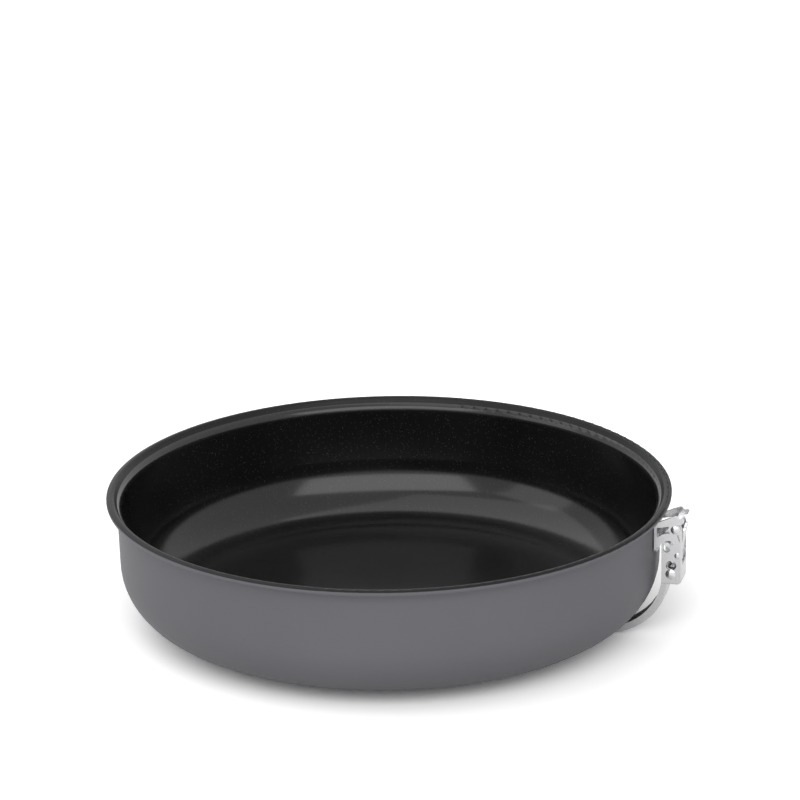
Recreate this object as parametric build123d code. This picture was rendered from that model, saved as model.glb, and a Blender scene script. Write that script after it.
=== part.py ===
"""A shallow frying pan with a sprung lock lever and a channel handle that folds under it."""
import os
from math import acos, atan2, cos, degrees, pi, radians, sin

from build123d import *

# Tolerance for picking edges by their place.
nearly = 0.01

# Driving dimensions in millimetres. The handle's hinge is on +X and the pan's underside is at z = 0.

# Pan bowl
wall_radius = 124.2
rim_reach = 4.8
rim_height = 57.4
wall_lean = 0.7
wall_thickness = 2.0
base_thickness = 2.8
corner_radius = 26.6
flare_drop = 5.8
flare_radius = 4.0
lip_height = 2.6
lip_drop = 1.0
coating_thickness = 0.2

# Hinge bracket and its rivets
hinge_reach = 9.6
hinge_drop = 8.2
plate_thickness = 1.2
plate_width = 14.2
plate_corner = 1.6
plate_length = 13.8
plate_top_drop = 6.0
bracket_gap = 0.1
lip_gap = 0.5
cam_radius = 6.5
hub_radius = 2.6
finger_root = 1.9
finger_far_angle = 48.0
finger_near_angle = 90.0
lobe_far_angle = -72.0
lobe_near_angle = -130.0
ear_foot = 1.4
ear_rise = 7.6
rivet_radius = 1.9
rivet_head_radius = 3.4
rivet_head_height = 1.1
rivet_drops = (16.0, 9.0)
hole_gap = 0.05

# Hinge pin, washers and bush
pin_radius = 1.5
pin_head_radius = 1.9
pin_head_height = 0.7
washer_thickness = 0.2
washer_radius = 2.9
bush_radius = 2.5
running_gap = 0.06

# Yoke
cheek_thickness = 1.0
cheek_inner = 4.6
cheek_boss_radius = 3.0
yoke_gap = 3.2
yoke_edge_radius = 0.7
cheek_drop = 26.9
shoulder_drop = 3.8
cheek_corner = 2.6
side_gap = 0.3
yoke_back_drop = 17.6
keyhole_inset = 1.9
keyhole_drop = 17.8
keyhole_radius = 2.4
yoke_rivet_inset = 2.2
yoke_rivet_drop = 22.0
yoke_rivet_radius = 1.3
yoke_rivet_head_radius = 2.3
yoke_rivet_head_height = 0.8

# Channel handle
sheet = 1.0
nest_gap = 0.1
handle_depth = 3.4
pan_clearance = 1.0
tab_top_drop = 18.2
tab_bottom_drop = 26.3
tab_toe = 2.4
neck_top_inset = 1.5
tab_gap = 0.4
grip_width = 20.0
grip_start = 62.0
taper_start = 94.0
grip_end = -78.0
neck_edge_radius = 0.9
neck_overlap = 0.5
web_top_drop = 25.6
hang_hole_radius = 4.0
hang_hole_inset = 11.0
slot_length = 52.0
slot_width = 7.0
slot_x = 6.0

# Lock lever
lever_pivot_reach = 1.0
lever_pivot_drop = 13.0
lever_pivot_radius = 1.1
lever_arm_thickness = 0.8
lever_arm_outer = 4.1
lever_boss_radius = 2.0
lever_nose_radius = 1.9
blade_thickness = 0.9
blade_foot_at = (1.5, -16.8)
blade_knee_at = (2.6, -5.7)
blade_tip_at = (4.2, 1.8)
lock_pin_radius = 1.1
lock_pin_orbit = 7.75
lock_pin_angle = -115.0
lock_travel = 8.0
notch_gap = 0.15

# Torsion spring
wire_radius = 0.35
coil_radius = 2.3
coil_turns = 4.0
coil_pitch = 0.95
spring_gap = 0.12

# Values worked out from the sizes above
rim_radius = wall_radius + rim_reach
flare_start = rim_height - flare_drop
hinge_x = wall_radius + hinge_reach
hinge_z = rim_height - hinge_drop
plate_top = rim_height - plate_top_drop
plate_bottom = plate_top - plate_length
rivet_z = tuple(rim_height - drop for drop in rivet_drops)
cheek_near = wall_radius + yoke_gap
cheek_bottom = hinge_z - cheek_drop
cheek_shoulder = hinge_z - shoulder_drop
yoke_back_top = hinge_z - yoke_back_drop
keyhole_x = hinge_x - keyhole_inset
keyhole_z = hinge_z - keyhole_drop
yoke_rivet_x = hinge_x - yoke_rivet_inset
yoke_rivet_z = hinge_z - yoke_rivet_drop
tab_top = hinge_z - tab_top_drop
tab_bottom = hinge_z - tab_bottom_drop
web_top = hinge_z - web_top_drop
lever_pivot_x = hinge_x + lever_pivot_reach
lever_pivot_z = hinge_z - lever_pivot_drop
blade_foot = (hinge_x + blade_foot_at[0], hinge_z + blade_foot_at[1])
blade_knee = (hinge_x + blade_knee_at[0], hinge_z + blade_knee_at[1])
blade_tip = (hinge_x + blade_tip_at[0], hinge_z + blade_tip_at[1])
cheek_far = hinge_x + cheek_boss_radius
cheek_outer = cheek_inner + cheek_thickness
ear_inner = cheek_outer + side_gap
ear_outer = ear_inner + plate_thickness
plate_x = wall_radius + bracket_gap
plate_face = plate_x + plate_thickness
lock_pin_x = hinge_x + lock_pin_orbit * cos(radians(lock_pin_angle))
lock_pin_z = hinge_z + lock_pin_orbit * sin(radians(lock_pin_angle))
lock_pin_reach = ear_outer + 0.3
channel_outer = cheek_inner - nest_gap
web_face = cheek_near + handle_depth
bend_radius = corner_radius + pan_clearance + handle_depth
bend_x = web_face - bend_radius
bend_z = bend_radius - pan_clearance - handle_depth


def slab(face, low, high):
    """Extrude a face that is drawn in the XZ plane from y = low to y = high."""
    return Pos(0, high, 0) * extrude(face, high - low, dir=(0, -1, 0))


def xz(shape, x=0.0, z=0.0):
    """Put a flat shape in the XZ plane at x, z."""
    return Plane.XZ * Pos(x, z) * shape


def flat(outline):
    """The face inside a closed outline, always looking the same way."""
    face = make_face(outline).face()
    return face if face.normal_at().Z > 0 else -face


def both_sides(face, inner, outer):
    """The same plate on both sides of the middle plane."""
    return slab(face, inner, outer) + slab(face, -outer, -inner)


def cross_pin(radius, low, high, x, z):
    """A round pin along Y."""
    return slab(xz(Circle(radius), x, z), low, high)


def inner_profile(skin):
    """The inner line of the bowl, moved in by skin, from the axis to the rim."""
    radius = wall_radius - wall_thickness - skin
    floor = base_thickness + skin
    corner = corner_radius - wall_thickness - skin
    foot = radius - wall_lean
    flare = flare_radius - skin
    path = Line((0, floor), (foot - corner, floor))
    path += RadiusArc((foot - corner, floor), (foot, floor + corner), -corner)
    path += Line((foot, floor + corner), (radius, flare_start))
    turn = (radius + flare * (1 - cos(pi / 3)), flare_start + flare * sin(pi / 3))
    path += RadiusArc((radius, flare_start), turn, flare)
    return path, turn


def pan_body():
    """The pressed aluminium bowl with a flared rim and a rolled lip."""
    inner, turn = inner_profile(0.0)
    foot = wall_radius - wall_lean
    under = flare_radius + wall_thickness
    crest = (rim_radius - 2.4, rim_height)
    tip = (rim_radius, rim_height - lip_drop)
    low = (rim_radius - 0.7, rim_height - lip_height)
    low_turn = (wall_radius + under * (1 - cos(pi / 4)) - 0.9, flare_start + 1.9)
    outline = inner + Line(turn, (crest[0] - 1.2, crest[1] - 0.5))
    outline += ThreePointArc((crest[0] - 1.2, crest[1] - 0.5), crest, (crest[0] + 1.2, crest[1] - 0.25))
    outline += ThreePointArc((crest[0] + 1.2, crest[1] - 0.25), (rim_radius - 0.3, rim_height - 0.62), tip)
    outline += ThreePointArc(tip, (rim_radius - 0.1, tip[1] - 0.9), low)
    outline += Line(low, low_turn)
    outline += ThreePointArc(low_turn, (wall_radius + 0.18, flare_start + 0.7), (wall_radius, flare_start - 1.0))
    outline += Line((wall_radius, flare_start - 1.0), (foot, corner_radius))
    outline += RadiusArc((foot, corner_radius), (foot - corner_radius, 0), corner_radius)
    outline += Line((foot - corner_radius, 0), (0, 0))
    outline += Line((0, 0), (0, base_thickness))
    bowl = revolve(Plane.XZ * flat(outline), Axis.Z)
    for z in rivet_z:
        bowl -= rivet_hole(z)
    return bowl


def rivet_hole(z):
    """The hole for a bracket rivet through the wall."""
    hole = Cylinder(rivet_radius + hole_gap, 12.0, rotation=(0, 90, 0))
    return Pos(wall_radius, 0, z) * hole


def ceramic_coating():
    """The skin on the inside, up to the flare."""
    outer, turn = inner_profile(0.0)
    inner, inner_turn = inner_profile(coating_thickness)
    outline = outer + inner + Line(turn, inner_turn)
    outline += Line((0, base_thickness), (0, base_thickness + coating_thickness))
    skin = revolve(Plane.XZ * flat(outline), Axis.Z)
    for z in rivet_z:
        skin -= rivet_hole(z)
    return skin


def lock_notch():
    """The slot that the lock pin drops into, along its path from clear to seated."""
    points = [lock_pin_at(angle) for angle in (-lock_travel, 0.0, lock_travel)]
    shape = None
    for x, z in points:
        disc = xz(Circle(lock_pin_radius + notch_gap), x, z)
        shape = disc if shape is None else shape + disc
    for start, end in zip(points, points[1:]):
        shape += xz(stroke(start, end, lock_pin_radius + notch_gap))
    return shape


def stroke(start, end, radius):
    """A flat bar of the given half width between two points."""
    length = ((end[0] - start[0]) ** 2 + (end[1] - start[1]) ** 2) ** 0.5
    ux = (end[0] - start[0]) / length
    uz = (end[1] - start[1]) / length
    side = (-uz * radius, ux * radius)
    corners = [
        (start[0] + side[0], start[1] + side[1]),
        (end[0] + side[0], end[1] + side[1]),
        (end[0] - side[0], end[1] - side[1]),
        (start[0] - side[0], start[1] - side[1]),
    ]
    return flat(Polyline(*corners, close=True))


def lock_pin_at(angle):
    """The lock pin's centre when the lever has turned by angle towards the hinge pin."""
    turn = radians(-angle)
    dx = lock_pin_x - lever_pivot_x
    dz = lock_pin_z - lever_pivot_z
    return (
        lever_pivot_x + dx * cos(turn) - dz * sin(turn),
        lever_pivot_z + dx * sin(turn) + dz * cos(turn),
    )


def around_hinge(radius, angle):
    """The point at a radius and an angle from the hinge axis."""
    return hinge_x + radius * cos(radians(angle)), hinge_z + radius * sin(radians(angle))


def ear_outline():
    """One ear: a finger under the rim, a hub round the pin and a lobe down to the plate's foot."""
    near = around_hinge(cam_radius, finger_near_angle)
    far = around_hinge(cam_radius, finger_far_angle)
    finger = flat(
        Polyline((plate_x, plate_top - finger_root), (plate_x, plate_top), (rim_radius + lip_gap, near[1] - finger_root))
        + Line((rim_radius + lip_gap, near[1] - finger_root), near)
        + RadiusArc(near, far, cam_radius)
        + Polyline(far, around_hinge(cam_radius - finger_root, finger_far_angle - 6), (rim_radius, hinge_z + 1.1))
        + Line((rim_radius, hinge_z + 1.1), (plate_x, plate_top - finger_root))
    )
    lobe_far = around_hinge(cam_radius, lobe_far_angle)
    lobe_near = around_hinge(cam_radius, lobe_near_angle)
    lobe = flat(
        Line((hinge_x, hinge_z), lobe_near)
        + RadiusArc(lobe_near, lobe_far, -cam_radius)
        + Line(lobe_far, (hinge_x, hinge_z))
    )
    foot = flat(
        Polyline(
            (plate_x, plate_bottom + ear_foot),
            (plate_x, plate_top - ear_rise),
            (cheek_near - 1.0, cheek_shoulder + 0.2),
            (cheek_near + 1.2, cheek_shoulder + 1.5),
            around_hinge(hub_radius * 0.9, lobe_near_angle),
            lobe_near,
            close=True,
        )
    )
    shape = xz(finger) + xz(foot) + xz(lobe) + xz(Circle(hub_radius), hinge_x, hinge_z)
    notch = lock_notch()
    turned = Pos(2 * hinge_x, 0, 2 * hinge_z) * (Rot(0, 180, 0) * notch)
    return shape - notch - turned - xz(Circle(pin_radius + hole_gap), hinge_x, hinge_z)


def hinge_bracket():
    """The pressed steel bracket: a plate on the wall with two ears."""
    plate = Pos(plate_x + plate_thickness / 2, 0, (plate_bottom + plate_top) / 2) * Box(
        plate_thickness, plate_width, plate_top - plate_bottom
    )
    plate = fillet(plate.edges().filter_by(Axis.X), plate_corner)
    bracket = plate + both_sides(ear_outline(), ear_inner, ear_outer)
    for z in rivet_z:
        bracket -= rivet_hole(z)
    return bracket


def bracket_rivet(z):
    """A round headed rivet through the wall and the plate."""
    inside = wall_radius - wall_thickness - coating_thickness - wall_lean / 2 - bracket_gap
    length = plate_face - inside
    shank = Pos(plate_face - length / 2, 0, z) * Cylinder(rivet_radius, length, rotation=(0, 90, 0))
    head = dome(rivet_head_radius, rivet_head_height)
    outer = Pos(plate_face, 0, z) * Rot(0, 90, 0) * dome(rivet_head_radius * 0.8, rivet_head_height * 0.7)
    inner = Pos(inside, 0, z) * Rot(0, -90, 0) * head
    return shank + outer + inner


def dome(radius, height):
    """A low rivet head on the XY plane, cut from a ball."""
    ball = (radius**2 + height**2) / (2 * height)
    top = Box(3 * radius, 3 * radius, 2 * height, align=(Align.CENTER, Align.CENTER, Align.MIN))
    return (Pos(0, 0, height - ball) * Sphere(ball)) & top


def side_head(x, y, z, radius, height, side):
    """A rivet head on a face that looks along Y, on the side +1 or -1."""
    return Pos(x, y, z) * Rot(-90 * side, 0, 0) * dome(radius, height)


def hinge_pin():
    """The pin through both ears, with a formed head at each end."""
    pin = cross_pin(pin_radius, -ear_outer, ear_outer, hinge_x, hinge_z)
    for side in (1, -1):
        pin += side_head(hinge_x, side * ear_outer, hinge_z, pin_head_radius, pin_head_height, side)
    return pin


def ring(outer, inner, low, high, x, z):
    """A round ring along Y."""
    return cross_pin(outer, low, high, x, z) - cross_pin(inner, low, high, x, z)


def hinge_washers():
    """A thin washer between each ear and its cheek."""
    low = cheek_outer + (side_gap - washer_thickness) / 2
    high = low + washer_thickness
    hole = pin_radius + hole_gap
    return [
        ring(washer_radius, hole, low, high, hinge_x, hinge_z),
        ring(washer_radius, hole, -high, -low, hinge_x, hinge_z),
    ]


def hinge_bush():
    """The sleeve that keeps the cheeks apart on the pin."""
    reach = cheek_inner - nest_gap / 2
    return ring(bush_radius, pin_radius + running_gap, -reach, reach, hinge_x, hinge_z)


def cheek_blank():
    """The outline that both cheeks and the back are cut from."""
    far = hinge_x + cheek_boss_radius
    blank = flat(
        Polyline(
            (cheek_near, cheek_bottom),
            (cheek_near, cheek_shoulder),
            (hinge_x - cheek_boss_radius, hinge_z),
            (far, hinge_z),
            (far, cheek_bottom),
            close=True,
        )
    )
    corner = blank.vertices().sort_by(Axis.Y)[:2].sort_by(Axis.X)[-1:]
    return xz(fillet(corner, cheek_corner))


def cheek_holes():
    """The pin holes, the keyhole and the lock window of a cheek."""
    holes = xz(Circle(pin_radius + running_gap), hinge_x, hinge_z)
    holes += xz(Circle(lever_pivot_radius + hole_gap), lever_pivot_x, lever_pivot_z)
    holes += xz(Circle(yoke_rivet_radius + hole_gap), yoke_rivet_x, yoke_rivet_z)
    holes += xz(Circle(keyhole_radius), keyhole_x, keyhole_z)
    return holes + lock_window()


def lock_window():
    """The slot in each cheek that the lock pin moves in."""
    gap = lock_pin_radius + 3 * notch_gap
    start = lock_pin_at(0.0)
    end = lock_pin_at(lock_travel)
    low = (start[0] - 0.6, start[1] - 3.0)
    shape = xz(Circle(gap), *start) + xz(Circle(gap), *end) + xz(Circle(gap), *low)
    return shape + xz(stroke(start, end, gap)) + xz(stroke(low, start, gap))


def handle_yoke():
    """Two cheeks joined by a back, which carries the lever and takes the channel."""
    far = hinge_x + cheek_boss_radius
    yoke = slab(cheek_blank(), -cheek_outer, cheek_outer)
    corners = yoke.edges().filter_by(Axis.Z).filter_by(lambda e: abs(e.center().X - far) < nearly)
    yoke = fillet(corners, yoke_edge_radius)
    yoke += slab(xz(Circle(cheek_boss_radius), hinge_x, hinge_z), -cheek_outer, cheek_outer)
    height = hinge_z + 2 * cheek_boss_radius - cheek_bottom
    room = Box(far - cheek_thickness, 2 * cheek_inner, 2 * height, align=(Align.MAX, Align.CENTER, Align.CENTER))
    yoke -= Pos(far - cheek_thickness, 0, cheek_bottom) * room
    above = Box(4 * cheek_boss_radius, 2 * cheek_inner, height, align=(Align.CENTER, Align.CENTER, Align.MIN))
    yoke -= Pos(far, 0, yoke_back_top) * above
    return yoke - slab(cheek_holes(), -2 * cheek_outer, 2 * cheek_outer)


def yoke_rivet():
    """The rivet across the yoke and the channel, with a head at each end."""
    rivet = cross_pin(yoke_rivet_radius, -cheek_outer, cheek_outer, yoke_rivet_x, yoke_rivet_z)
    for side in (1, -1):
        rivet += side_head(
            yoke_rivet_x, side * cheek_outer, yoke_rivet_z, yoke_rivet_head_radius, yoke_rivet_head_height, side
        )
    return rivet


def neck_band(inner, outer, extra=0.0):
    """The band of the channel's neck in the XZ plane, between two depths from the pan's side."""
    near = bend_radius - handle_depth + inner
    far = bend_radius - handle_depth + outer
    top = tab_top - neck_top_inset + extra
    path = Line((bend_x + near, top), (bend_x + near, bend_z))
    path += RadiusArc((bend_x + near, bend_z), (bend_x, bend_z - near), near)
    path += Line((bend_x, bend_z - near), (bend_x - extra, bend_z - near))
    path += Line((bend_x - extra, bend_z - near), (bend_x - extra, bend_z - far))
    path += Line((bend_x - extra, bend_z - far), (bend_x, bend_z - far))
    path += RadiusArc((bend_x, bend_z - far), (bend_x + far, bend_z), -far)
    path += Line((bend_x + far, bend_z), (bend_x + far, top))
    path += Line((bend_x + far, top), (bend_x + near, top))
    return xz(flat(path))


def grip_plan(inset):
    """The plan of the grip, from the bend to its round end."""
    half = channel_outer - inset
    wide = grip_width / 2 - inset
    end_x = grip_end + grip_width / 2
    middle = (taper_start + grip_start) / 2
    path = Line((bend_x, half), (taper_start, half))
    path += Spline((taper_start, half), (middle, (half + wide) / 2), (grip_start, wide),
                   tangents=((-1, 0), (-1, 0)), tangent_scalars=(1.0, 1.0))
    path += Line((grip_start, wide), (end_x, wide))
    path += RadiusArc((end_x, wide), (end_x, -wide), -wide)
    path += Line((end_x, -wide), (grip_start, -wide))
    path += Spline((grip_start, -wide), (middle, -(half + wide) / 2), (taper_start, -half),
                   tangents=((1, 0), (1, 0)), tangent_scalars=(1.0, 1.0))
    path += Line((taper_start, -half), (bend_x, -half))
    path += Line((bend_x, -half), (bend_x, half))
    return flat(path)


def channel_neck():
    """The neck round the bowl's corner, open towards the pan, with two tabs at its top."""
    inside = channel_outer - sheet
    neck = slab(neck_band(0, handle_depth, neck_overlap), -channel_outer, channel_outer)
    edges = neck.edges().filter_by(lambda e: abs(abs(e.center().Y) - channel_outer) < nearly)
    outer = edges.filter_by(lambda e: outside_of_bend(e.center()))
    neck = fillet(outer, neck_edge_radius)
    neck -= slab(neck_band(-1.0, handle_depth - sheet, 2 * neck_overlap), -inside, inside)
    far = cheek_far - cheek_thickness - tab_gap
    tab = flat(
        Polyline(
            (web_face - sheet, tab_bottom),
            (cheek_near + handle_depth / 2, tab_bottom),
            (cheek_near + handle_depth / 2, tab_top),
            (far, tab_top),
            (far, tab_bottom + tab_toe),
            close=True,
        )
    )
    neck += both_sides(xz(tab), inside, channel_outer)
    neck -= Pos(web_face, 0, web_top) * Box(
        2 * handle_depth, 2 * inside, tab_top, align=(Align.CENTER, Align.CENTER, Align.MIN)
    )
    holes = xz(Circle(yoke_rivet_radius + hole_gap), yoke_rivet_x, yoke_rivet_z)
    holes += xz(Circle(keyhole_radius), keyhole_x, keyhole_z)
    return neck - slab(holes, -2 * channel_outer, 2 * channel_outer)


def outside_of_bend(point):
    """True for a point on the web's outer face."""
    if point.Z > bend_z:
        return abs(point.X - web_face) < 0.05
    return ((point.X - bend_x) ** 2 + (point.Z - bend_z) ** 2) ** 0.5 > bend_radius - 0.05 and point.X > bend_x


def channel_grip():
    """The grip: a shallow tray with a round end, a slot and a hang hole."""
    bottom = bend_z - bend_radius
    grip = Pos(0, 0, bottom) * extrude(grip_plan(0), handle_depth, dir=(0, 0, 1))
    low_edges = grip.edges().filter_by(lambda e: abs(e.center().Z - bottom) < nearly)
    rim_edges = low_edges.filter_by(lambda e: e.center().X < bend_x - sheet / 10)
    grip = fillet(rim_edges, neck_edge_radius)
    grip -= Pos(0, 0, bottom + sheet) * extrude(grip_plan(sheet), handle_depth, dir=(0, 0, 1))
    grip -= Pos(grip_end + hang_hole_inset, 0, bottom) * Cylinder(hang_hole_radius, 4 * sheet)
    return grip - Pos(slot_x, 0, bottom) * extrude(SlotOverall(slot_length, slot_width), 4 * sheet, both=True)


def handle_channel():
    """The pressed steel channel: tabs in the yoke, a neck round the bowl's corner and the grip."""
    return channel_neck() + channel_grip()


def lock_lever():
    """The lever: a thumb blade with two arms that hold the lock pin."""
    inner = lever_arm_outer - lever_arm_thickness
    pivot = (lever_pivot_x, lever_pivot_z)
    nose = (lock_pin_x, lock_pin_z)
    arm = xz(Circle(lever_boss_radius), *pivot) + xz(Circle(lever_nose_radius), *nose)
    arm += xz(stroke(pivot, nose, lever_nose_radius * 0.9))
    back = blade_thickness / 2
    arm += xz(flat(Polyline(pivot, (blade_foot[0] - back, blade_foot[1] + 1.4), blade_foot, blade_knee, close=True)))
    holes = xz(Circle(lever_pivot_radius + running_gap), *pivot) + xz(Circle(lock_pin_radius + hole_gap), *nose)
    bend = xz(stroke(blade_foot, blade_knee, back)) + xz(stroke(blade_knee, blade_tip, back))
    bend += xz(Circle(back), *blade_knee) + xz(Circle(back), *blade_foot)
    blade = slab(bend, -lever_arm_outer, lever_arm_outer)
    tip = blade_tip[1] - lever_arm_outer
    root = blade_foot[1] - lever_arm_outer
    keep = Rectangle(2 * lever_arm_outer, tip - root, align=(Align.CENTER, Align.MIN))
    round_end = Pos(0, root) * keep + Pos(0, tip) * Circle(lever_arm_outer)
    blade &= Pos(hinge_x - cam_radius, 0, 0) * extrude(Plane.YZ * round_end, 3 * cam_radius)
    lever = blade + both_sides(arm, inner, lever_arm_outer)
    return lever - slab(holes, -2 * lever_arm_outer, 2 * lever_arm_outer)


def lever_pivot_pin():
    """The pin that the lever turns on, peened over in the cheeks."""
    pin = cross_pin(lever_pivot_radius, -cheek_outer, cheek_outer, lever_pivot_x, lever_pivot_z)
    for side in (1, -1):
        pin += side_head(lever_pivot_x, side * cheek_outer, lever_pivot_z, lever_pivot_radius * 1.3, 0.3, side)
    return pin


def lock_pin():
    """The cross pin that drops into the notches of both ears."""
    return cross_pin(lock_pin_radius, -lock_pin_reach, lock_pin_reach, lock_pin_x, lock_pin_z)


def coil_angle(x, z, side):
    """The angle on the coil where a straight leg to x, z leaves it, in degrees."""
    away = ((x - yoke_rivet_x) ** 2 + (z - yoke_rivet_z) ** 2) ** 0.5
    return degrees(atan2(z - yoke_rivet_z, x - yoke_rivet_x) + side * acos(coil_radius / away))


def leg_length(x, z):
    """The length of a leg from the coil to x, z."""
    return ((x - yoke_rivet_x) ** 2 + (z - yoke_rivet_z) ** 2 - coil_radius**2) ** 0.5


def torsion_spring():
    """A coil round the yoke rivet, with one leg under the lock pin and one on the yoke's back."""
    seat = wire_radius + spring_gap
    upper = (lock_pin_x + 0.2, lock_pin_z - lock_pin_radius - seat)
    lower = (cheek_far - cheek_thickness - seat, yoke_rivet_z - 1.6)
    first = coil_angle(*lower, 1)
    sweep_angle = 360 * coil_turns + coil_angle(*upper, -1) - first
    steps = round(sweep_angle / 30)
    points = []
    for step in range(steps + 1):
        angle = radians(first + sweep_angle * step / steps)
        y = coil_pitch * sweep_angle / 360 * (0.5 - step / steps)
        points.append((yoke_rivet_x + coil_radius * cos(angle), y, yoke_rivet_z + coil_radius * sin(angle)))
    points = leg_points(lower, points[0])[:-1] + points + leg_points(upper, points[-1])[-2::-1]
    path = Spline(*points)
    return sweep(Plane(path @ 0, z_dir=path % 0) * Circle(wire_radius), path)


def leg_points(tip, root):
    """Points about a coil step apart along a straight leg, from its tip to its root."""
    length = leg_length(*tip)
    steps = max(2, round(length / (coil_radius * radians(30))))
    start = Vector(tip[0], root[1], tip[1])
    return [tuple(start + (Vector(*root) - start) * (step / steps)) for step in range(steps + 1)]


def save(name, solids):
    """Write one node, made of one solid or several."""
    solids = list(solids)
    shape = solids[0] if len(solids) == 1 else Compound(children=solids)
    export_step(shape, f"parts/{name}.step")


def main():
    os.makedirs("parts", exist_ok=True)
    save("pan_body", pan_body().solids())
    save("ceramic_coating", ceramic_coating().solids())
    save("hinge_bracket", hinge_bracket().solids())
    save("bracket_rivets", [bracket_rivet(z) for z in rivet_z])
    save("hinge_pin", hinge_pin().solids())
    save("hinge_washers", hinge_washers())
    save("hinge_bush", hinge_bush().solids())
    save("handle_yoke", handle_yoke().solids())
    save("yoke_rivet", yoke_rivet().solids())
    save("handle_channel", handle_channel().solids())
    save("lever_pivot_pin", lever_pivot_pin().solids())
    save("lock_lever", lock_lever().solids())
    save("lock_pin", lock_pin().solids())
    save("torsion_spring", torsion_spring().solids())


main()
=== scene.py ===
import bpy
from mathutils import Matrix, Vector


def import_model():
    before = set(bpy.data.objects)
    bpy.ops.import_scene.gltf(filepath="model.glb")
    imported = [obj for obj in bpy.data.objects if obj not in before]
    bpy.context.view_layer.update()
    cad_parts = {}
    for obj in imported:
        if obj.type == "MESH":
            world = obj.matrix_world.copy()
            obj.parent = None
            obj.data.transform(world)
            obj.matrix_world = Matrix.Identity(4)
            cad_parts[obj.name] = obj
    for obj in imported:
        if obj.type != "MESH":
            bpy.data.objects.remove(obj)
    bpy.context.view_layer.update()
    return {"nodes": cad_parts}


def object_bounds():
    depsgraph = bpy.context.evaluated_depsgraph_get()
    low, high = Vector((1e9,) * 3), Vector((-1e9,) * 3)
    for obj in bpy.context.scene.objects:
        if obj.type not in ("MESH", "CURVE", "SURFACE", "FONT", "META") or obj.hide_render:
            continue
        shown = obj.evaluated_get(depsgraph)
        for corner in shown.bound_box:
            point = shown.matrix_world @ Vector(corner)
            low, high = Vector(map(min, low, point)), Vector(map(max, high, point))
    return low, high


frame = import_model()

import math

import bpy
from mathutils import Matrix, Vector

# Camera, as fitted to the rim, wall and base in the photograph. Lengths are in metres.
VIEW_AZIMUTH = 14.0
VIEW_ELEVATION = 19.25
VIEW_ROLL = -0.93
VIEW_DISTANCE = 2.124
VIEW_TARGET_SIDE = 0.0057
VIEW_TARGET_HEIGHT = 0.0996
LENS_MM = 210.8
SENSOR_MM = 36.0

# Heights on the bowl where the flare, the dark crest of the lip and its bead begin.
RIM_HEIGHT = 0.0574
FLARE_START = RIM_HEIGHT - 0.0058
LIP_START = RIM_HEIGHT - 0.0010
BEAD_START = RIM_HEIGHT - 0.0008

# The radius that parts the wall's inside from its outside, how far the flare leans out for each metre
# of its rise, and the height from which this holds.
MIDDLE_OF_WALL = 0.1231
FLARE_LEAN = 0.45
WALL_START = 0.030

# How pale the floor is where the camera sees it, so that it is white outside the shadow.
SHOWN_FLOOR = 1.2

# The world's strength on matt surfaces, and where it is seen or mirrored.
PLAIN_WORLD = 0.75
SHOWN_WORLD = 1.0

# How far from an edge of the steel its painted highlight reaches.
EDGE_HIGHLIGHT_WIDTH = 0.0006

nodes = frame["nodes"]
floor_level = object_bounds()[0][2]


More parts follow.
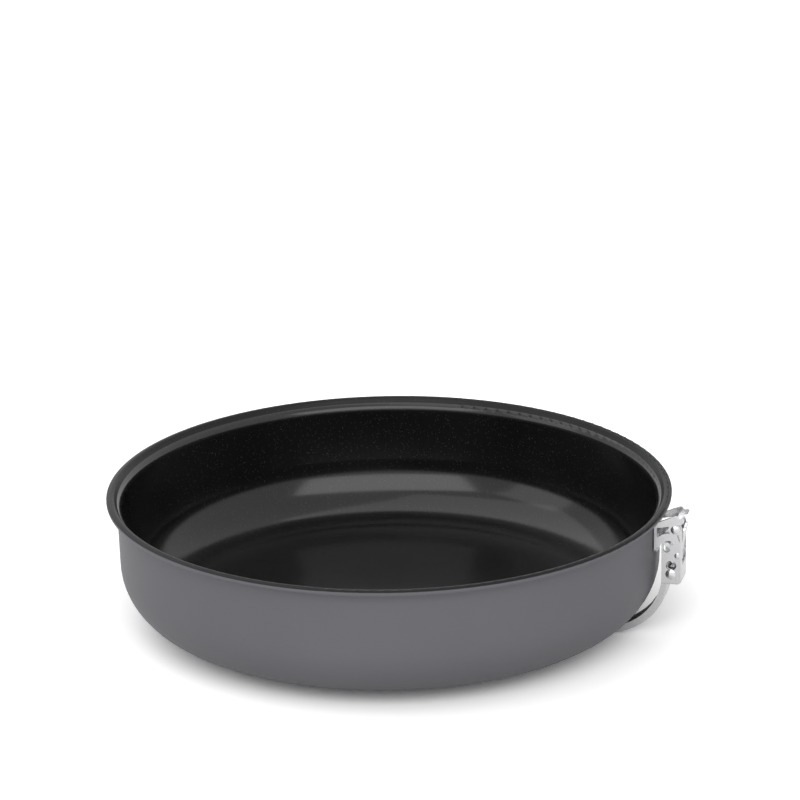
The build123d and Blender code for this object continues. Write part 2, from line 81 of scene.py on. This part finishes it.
class Tree:
    """A material's node tree, with short ways to add and join nodes."""

    def __init__(self, name):
        self.material = bpy.data.materials.new(name)
        self.material.use_nodes = True
        self.tree = self.material.node_tree
        self.tree.nodes.clear()
        self.shader = self.add("ShaderNodeBsdfPrincipled")
        output = self.add("ShaderNodeOutputMaterial")
        self.link(self.shader.outputs["BSDF"], output.inputs["Surface"])
        self.place = self.add("ShaderNodeTexCoord").outputs["Object"]

    def add(self, kind, **settings):
        node = self.tree.nodes.new(kind)
        for key, value in settings.items():
            setattr(node, key, value)
        return node

    def link(self, source, target):
        self.tree.links.new(source, target)

    def put(self, node, **values):
        for key, value in values.items():
            node.inputs[key.replace("_", " ")].default_value = value

    def math(self, operation, first, second=0.0):
        node = self.add("ShaderNodeMath", operation=operation)
        for index, value in enumerate((first, second)):
            if isinstance(value, (int, float)):
                node.inputs[index].default_value = value
            else:
                self.link(value, node.inputs[index])
        return node.outputs[0]

    def stretched(self, scale):
        """The object's coordinates, stretched by scale along each axis."""
        node = self.add("ShaderNodeMapping")
        self.put(node, Scale=scale)
        self.link(self.place, node.inputs["Vector"])
        return node.outputs[0]

    def noise(self, scale, detail=3.0, roughness=0.5, place=None):
        node = self.add("ShaderNodeTexNoise")
        self.put(node, Scale=scale, Detail=detail, Roughness=roughness)
        self.link(place or self.place, node.inputs["Vector"])
        return node.outputs["Fac"]

    def cells(self, scale):
        """A random value in each small cell, and the distance from its centre."""
        node = self.add("ShaderNodeTexVoronoi")
        self.put(node, Scale=scale)
        self.link(self.place, node.inputs["Vector"])
        split = self.add("ShaderNodeSeparateColor")
        self.link(node.outputs["Color"], split.inputs["Color"])
        return split.outputs["Red"], node.outputs["Distance"]

    def span(self, value, low, high, to_low=0.0, to_high=1.0):
        node = self.add("ShaderNodeMapRange", clamp=True)
        for index, number in enumerate((low, high, to_low, to_high), start=1):
            node.inputs[index].default_value = number
        self.link(value, node.inputs["Value"])
        return node.outputs["Result"]

    def blend(self, factor, first, second):
        node = self.add("ShaderNodeMix", data_type="RGBA")
        self.link(factor, node.inputs["Factor"])
        for name, value in (("A", first), ("B", second)):
            socket = [s for s in node.inputs if s.name == name and s.type == "RGBA"][0]
            if isinstance(value, tuple):
                socket.default_value = (*value, 1.0)
            else:
                self.link(value, socket)
        return [s for s in node.outputs if s.type == "RGBA"][0]

    def mixed(self, factor, first, second):
        """A value between two others, by factor."""
        away = self.math("MULTIPLY", first, self.math("SUBTRACT", 1.0, factor))
        return self.math("ADD", away, self.math("MULTIPLY", second, factor))

    def coated_part(self):
        """1 on the inside of the bowl and on the crest of its lip, and 0 on its outside."""
        split = self.add("ShaderNodeSeparateXYZ")
        self.link(self.place, split.inputs["Vector"])
        height = split.outputs["Z"]
        across = self.math("POWER", split.outputs["X"], 2.0)
        along = self.math("POWER", split.outputs["Y"], 2.0)
        radius = self.math("POWER", self.math("ADD", across, along), 0.5)
        rise = self.math("MAXIMUM", self.math("SUBTRACT", height, FLARE_START), 0.0)
        reach = self.math("SUBTRACT", radius, self.math("MULTIPLY", rise, FLARE_LEAN))
        within = self.math("LESS_THAN", reach, MIDDLE_OF_WALL)
        inside = self.math("MULTIPLY", within, self.span(height, WALL_START, WALL_START + 0.001))
        lip = self.span(height, LIP_START, LIP_START + 0.0003)
        return self.math("MAXIMUM", inside, lip)

    def coat_colour(self):
        """Black ceramic with bright flecks, a little paler on the flare and on the lip's bead."""
        pick, distance = self.cells(2300.0)
        fleck = self.math("MULTIPLY", self.span(pick, 0.93, 0.96), self.span(distance, 0.5, 0.3))
        cloud = self.noise(25.0, 3.0)
        split = self.add("ShaderNodeSeparateXYZ")
        self.link(self.place, split.inputs["Vector"])
        up = self.span(split.outputs["Z"], FLARE_START - 0.0004, FLARE_START + 0.0006)
        over = self.span(split.outputs["Z"], BEAD_START, BEAD_START + 0.0005)
        # A paler colour on the flare, from where it starts up to the lip's bead.
        paler_flare_band = self.math("MULTIPLY", up, self.math("SUBTRACT", 1.0, over))
        black = self.blend(self.span(cloud, 0.3, 0.7), (0.0045, 0.0045, 0.0050), (0.0060, 0.0060, 0.0066))
        flared = self.blend(paler_flare_band, black, (0.014, 0.014, 0.015))
        dark = self.blend(over, flared, (0.008, 0.008, 0.009))
        return self.blend(self.math("MULTIPLY", fleck, 0.45), dark, (0.08, 0.08, 0.085))

    def bump(self, height, distance, strength=1.0, under=None):
        node = self.add("ShaderNodeBump")
        self.put(node, Distance=distance, Strength=strength)
        self.link(height, node.inputs["Height"])
        if under is not None:
            self.link(under, node.inputs["Normal"])
        return node.outputs["Normal"]

    def edges(self):
        """How sharp the surface is at a point, from 0 on a flat to 1 on an edge."""
        bevel = self.add("ShaderNodeBevel", samples=4)
        self.put(bevel, Radius=EDGE_HIGHLIGHT_WIDTH)
        geometry = self.add("ShaderNodeNewGeometry")
        dot = self.add("ShaderNodeVectorMath", operation="DOT_PRODUCT")
        self.link(bevel.outputs[0], dot.inputs[0])
        self.link(geometry.outputs["Normal"], dot.inputs[1])
        return self.span(dot.outputs["Value"], 0.97, 0.75)


def anodised_aluminium():
    """Hard anodised satin grey outside, with the ceramic's colour on the flare and the lip's crest."""
    t = Tree("anodised_aluminium")
    cloud = t.noise(14.0, 4.0, 0.55)
    grain = t.noise(5200.0, 2.0, 0.6)
    dark = t.blend(t.span(cloud, 0.35, 0.65), (0.106, 0.105, 0.115), (0.114, 0.113, 0.123))
    metal = t.blend(t.span(grain, 0.35, 0.75), dark, (0.128, 0.127, 0.137))
    lip = t.coated_part()
    t.link(t.blend(lip, metal, t.coat_colour()), t.shader.inputs["Base Color"])
    t.link(t.span(lip, 0.0, 1.0, 0.30, 0.0), t.shader.inputs["Metallic"])
    t.put(t.shader, Specular_IOR_Level=0.14)
    satin = t.math("ADD", t.span(cloud, 0.3, 0.7, 0.46, 0.52), t.span(grain, 0.3, 0.7, -0.03, 0.03))
    gloss = t.span(t.noise(2600.0), 0.3, 0.7, 0.30, 0.40)
    t.link(t.mixed(lip, satin, gloss), t.shader.inputs["Roughness"])
    fine = t.bump(grain, 0.00002, 0.35)
    t.link(t.bump(t.noise(60.0, 2.0), 0.0002, 0.05, fine), t.shader.inputs["Normal"])
    return t.material


def ceramic_skin():
    """Black ceramic with a gloss and scattered bright flecks."""
    t = Tree("ceramic_skin")
    t.link(t.coat_colour(), t.shader.inputs["Base Color"])
    cloud = t.noise(25.0, 3.0)
    t.link(t.span(cloud, 0.3, 0.7, 0.13, 0.17), t.shader.inputs["Roughness"])
    t.put(t.shader, IOR=1.45)
    peel = t.noise(420.0, 2.0)
    grit = t.noise(3800.0, 2.0, 0.7)
    t.link(t.bump(peel, 0.00006, 0.05, t.bump(grit, 0.00002, 0.12)), t.shader.inputs["Normal"])
    return t.material


def brushed_steel(name, base, rough, scale):
    """Stainless sheet, brushed along the long axis of scale, with a painted highlight along its edges."""
    t = Tree(name)
    lines = t.noise(1.0, 3.0, 0.6, t.stretched(scale))
    cloud = t.noise(70.0, 3.0)
    edge = t.edges()
    shade = t.blend(t.span(lines, 0.3, 0.7), tuple(0.88 * channel for channel in base), base)
    # The edges are painted paler than the sheet, a painted highlight standing in for the bright lines that
    # light gives them.
    edge_highlighted = t.blend(t.math("MULTIPLY", edge, 0.6), shade, (0.86, 0.86, 0.87))
    t.link(edge_highlighted, t.shader.inputs["Base Color"])
    t.put(t.shader, Metallic=1.0)
    brushed = t.span(lines, 0.3, 0.7, rough - 0.05, rough + 0.07)
    t.link(t.math("ADD", brushed, t.span(cloud, 0.3, 0.7, -0.03, 0.04)), t.shader.inputs["Roughness"])
    t.link(t.bump(lines, 0.00002, 0.3), t.shader.inputs["Normal"])
    return t.material


def bright_steel():
    """Turned and tumbled steel for pins and rivets."""
    t = Tree("bright_steel")
    cloud = t.noise(900.0, 3.0)
    steel = t.blend(t.span(cloud, 0.3, 0.7), (0.60, 0.60, 0.61), (0.72, 0.72, 0.73))
    t.link(steel, t.shader.inputs["Base Color"])
    t.put(t.shader, Metallic=1.0)
    t.link(t.span(cloud, 0.3, 0.7, 0.16, 0.28), t.shader.inputs["Roughness"])
    t.link(t.bump(cloud, 0.00003, 0.15), t.shader.inputs["Normal"])
    return t.material


def dress():
    """Give each CAD node its finish."""
    vertical = brushed_steel("stainless_sheet", (0.66, 0.66, 0.67), 0.24, (5000.0, 5000.0, 160.0))
    lengthways = brushed_steel("stainless_grip", (0.66, 0.66, 0.67), 0.24, (160.0, 5000.0, 5000.0))
    spring = brushed_steel("spring_steel", (0.50, 0.50, 0.51), 0.24, (3000.0, 3000.0, 3000.0))
    bright = bright_steel()
    finishes = {
        "pan_body": anodised_aluminium(),
        "ceramic_coating": ceramic_skin(),
        "hinge_bracket": vertical,
        "handle_yoke": vertical,
        "lock_lever": vertical,
        "handle_channel": lengthways,
        "bracket_rivets": bright,
        "hinge_pin": bright,
        "hinge_washers": bright,
        "hinge_bush": bright,
        "yoke_rivet": bright,
        "lever_pivot_pin": bright,
        "lock_pin": bright,
        "torsion_spring": spring,
    }
    for name, material in finishes.items():
        slots = nodes[name].data.materials
        slots.clear()
        slots.append(material)


def soft_box(name, place, aim, width, height, power):
    """A large soft lamp at place, looking at aim."""
    data = bpy.data.lights.new(name, "AREA")
    data.shape = "RECTANGLE"
    data.size = width
    data.size_y = height
    data.energy = power
    lamp = bpy.data.objects.new(name, data)
    lamp.location = place
    lamp.visible_camera = False
    lamp.rotation_euler = (Vector(aim) - Vector(place)).to_track_quat("-Z", "Y").to_euler()
    bpy.context.scene.collection.objects.link(lamp)


def floor():
    """A plain white floor, level with the lowest point of the part."""
    half = 6.0
    mesh = bpy.data.meshes.new("floor")
    corners = [(-half, -half), (half, -half), (half, half), (-half, half)]
    mesh.from_pydata([(x, y, floor_level) for x, y in corners], [], [(0, 1, 2, 3)])
    piece = bpy.data.objects.new("floor", mesh)
    bpy.context.scene.collection.objects.link(piece)
    t = Tree("floor")
    pale = t.blend(t.noise(3.0), (0.86, 0.86, 0.86), (0.88, 0.88, 0.88))
    path = t.add("ShaderNodeLightPath")
    t.link(t.blend(path.outputs["Is Camera Ray"], pale, (SHOWN_FLOOR,) * 3), t.shader.inputs["Base Color"])
    t.put(t.shader, Roughness=0.9, Specular_IOR_Level=0.0)
    mesh.materials.append(t.material)


def world():
    """White where the camera sees it, directly, through glass or mirrored, and a plain light elsewhere."""
    sky = bpy.data.worlds.new("studio")
    bpy.context.scene.world = sky
    sky.use_nodes = True
    tree = sky.node_tree
    background = tree.nodes["Background"]
    path = tree.nodes.new("ShaderNodeLightPath")
    shown = path.outputs["Is Camera Ray"]
    for ray in ("Is Transmission Ray", "Is Glossy Ray"):
        either = tree.nodes.new("ShaderNodeMath")
        either.operation = "MAXIMUM"
        tree.links.new(shown, either.inputs[0])
        tree.links.new(path.outputs[ray], either.inputs[1])
        shown = either.outputs[0]
    level = tree.nodes.new("ShaderNodeMapRange")
    level.inputs["To Min"].default_value = PLAIN_WORLD
    level.inputs["To Max"].default_value = SHOWN_WORLD
    tree.links.new(shown, level.inputs["Value"])
    tree.links.new(level.outputs["Result"], background.inputs["Strength"])
    background.inputs["Color"].default_value = (1.0, 1.0, 1.0, 1.0)


def camera():
    """The photograph's camera."""
    azimuth = math.radians(VIEW_AZIMUTH)
    elevation = math.radians(VIEW_ELEVATION)
    roll = math.radians(VIEW_ROLL)
    side = Vector((math.cos(azimuth), math.sin(azimuth), 0.0))
    back = Vector((
        math.sin(azimuth) * math.cos(elevation),
        -math.cos(azimuth) * math.cos(elevation),
        math.sin(elevation),
    ))
    up = back.cross(side)
    right = math.cos(roll) * side + math.sin(roll) * up
    top = -math.sin(roll) * side + math.cos(roll) * up
    target = VIEW_TARGET_SIDE * side + Vector((0.0, 0.0, VIEW_TARGET_HEIGHT))
    data = bpy.data.cameras.new("camera")
    data.lens = LENS_MM
    data.sensor_width = SENSOR_MM
    data.clip_start = 0.05
    data.clip_end = 50.0
    eye = bpy.data.objects.new("camera", data)
    turn = Matrix((right, top, back)).transposed().to_4x4()
    eye.matrix_world = Matrix.Translation(target + VIEW_DISTANCE * back) @ turn
    bpy.context.scene.collection.objects.link(eye)
    bpy.context.scene.camera = eye


def around(azimuth, elevation, distance):
    """A place about the object, by degrees anticlockwise of the camera, degrees up, and metres away."""
    side = math.radians(VIEW_AZIMUTH - 90.0 + azimuth)
    rise = math.radians(elevation)
    flat = distance * math.cos(rise)
    return flat * math.cos(side), flat * math.sin(side), distance * math.sin(rise)


def lights():
    """A wide soft box in front, which the bowl's corner mirrors, and softer ones above and to the left."""
    aim = (0.0, 0.0, 0.03)
    soft_box("front_light", around(2.0, 36.0, 3.0), aim, 4.2, 2.1, 62.0)
    soft_box("top_light", around(-120.0, 66.0, 2.6), aim, 3.0, 3.0, 22.0)
    soft_box("left_light", around(-75.0, 24.0, 3.0), aim, 1.6, 2.0, 9.0)


dress()
floor()
world()
lights()
camera()
bpy.context.scene.view_settings.view_transform = "Standard"
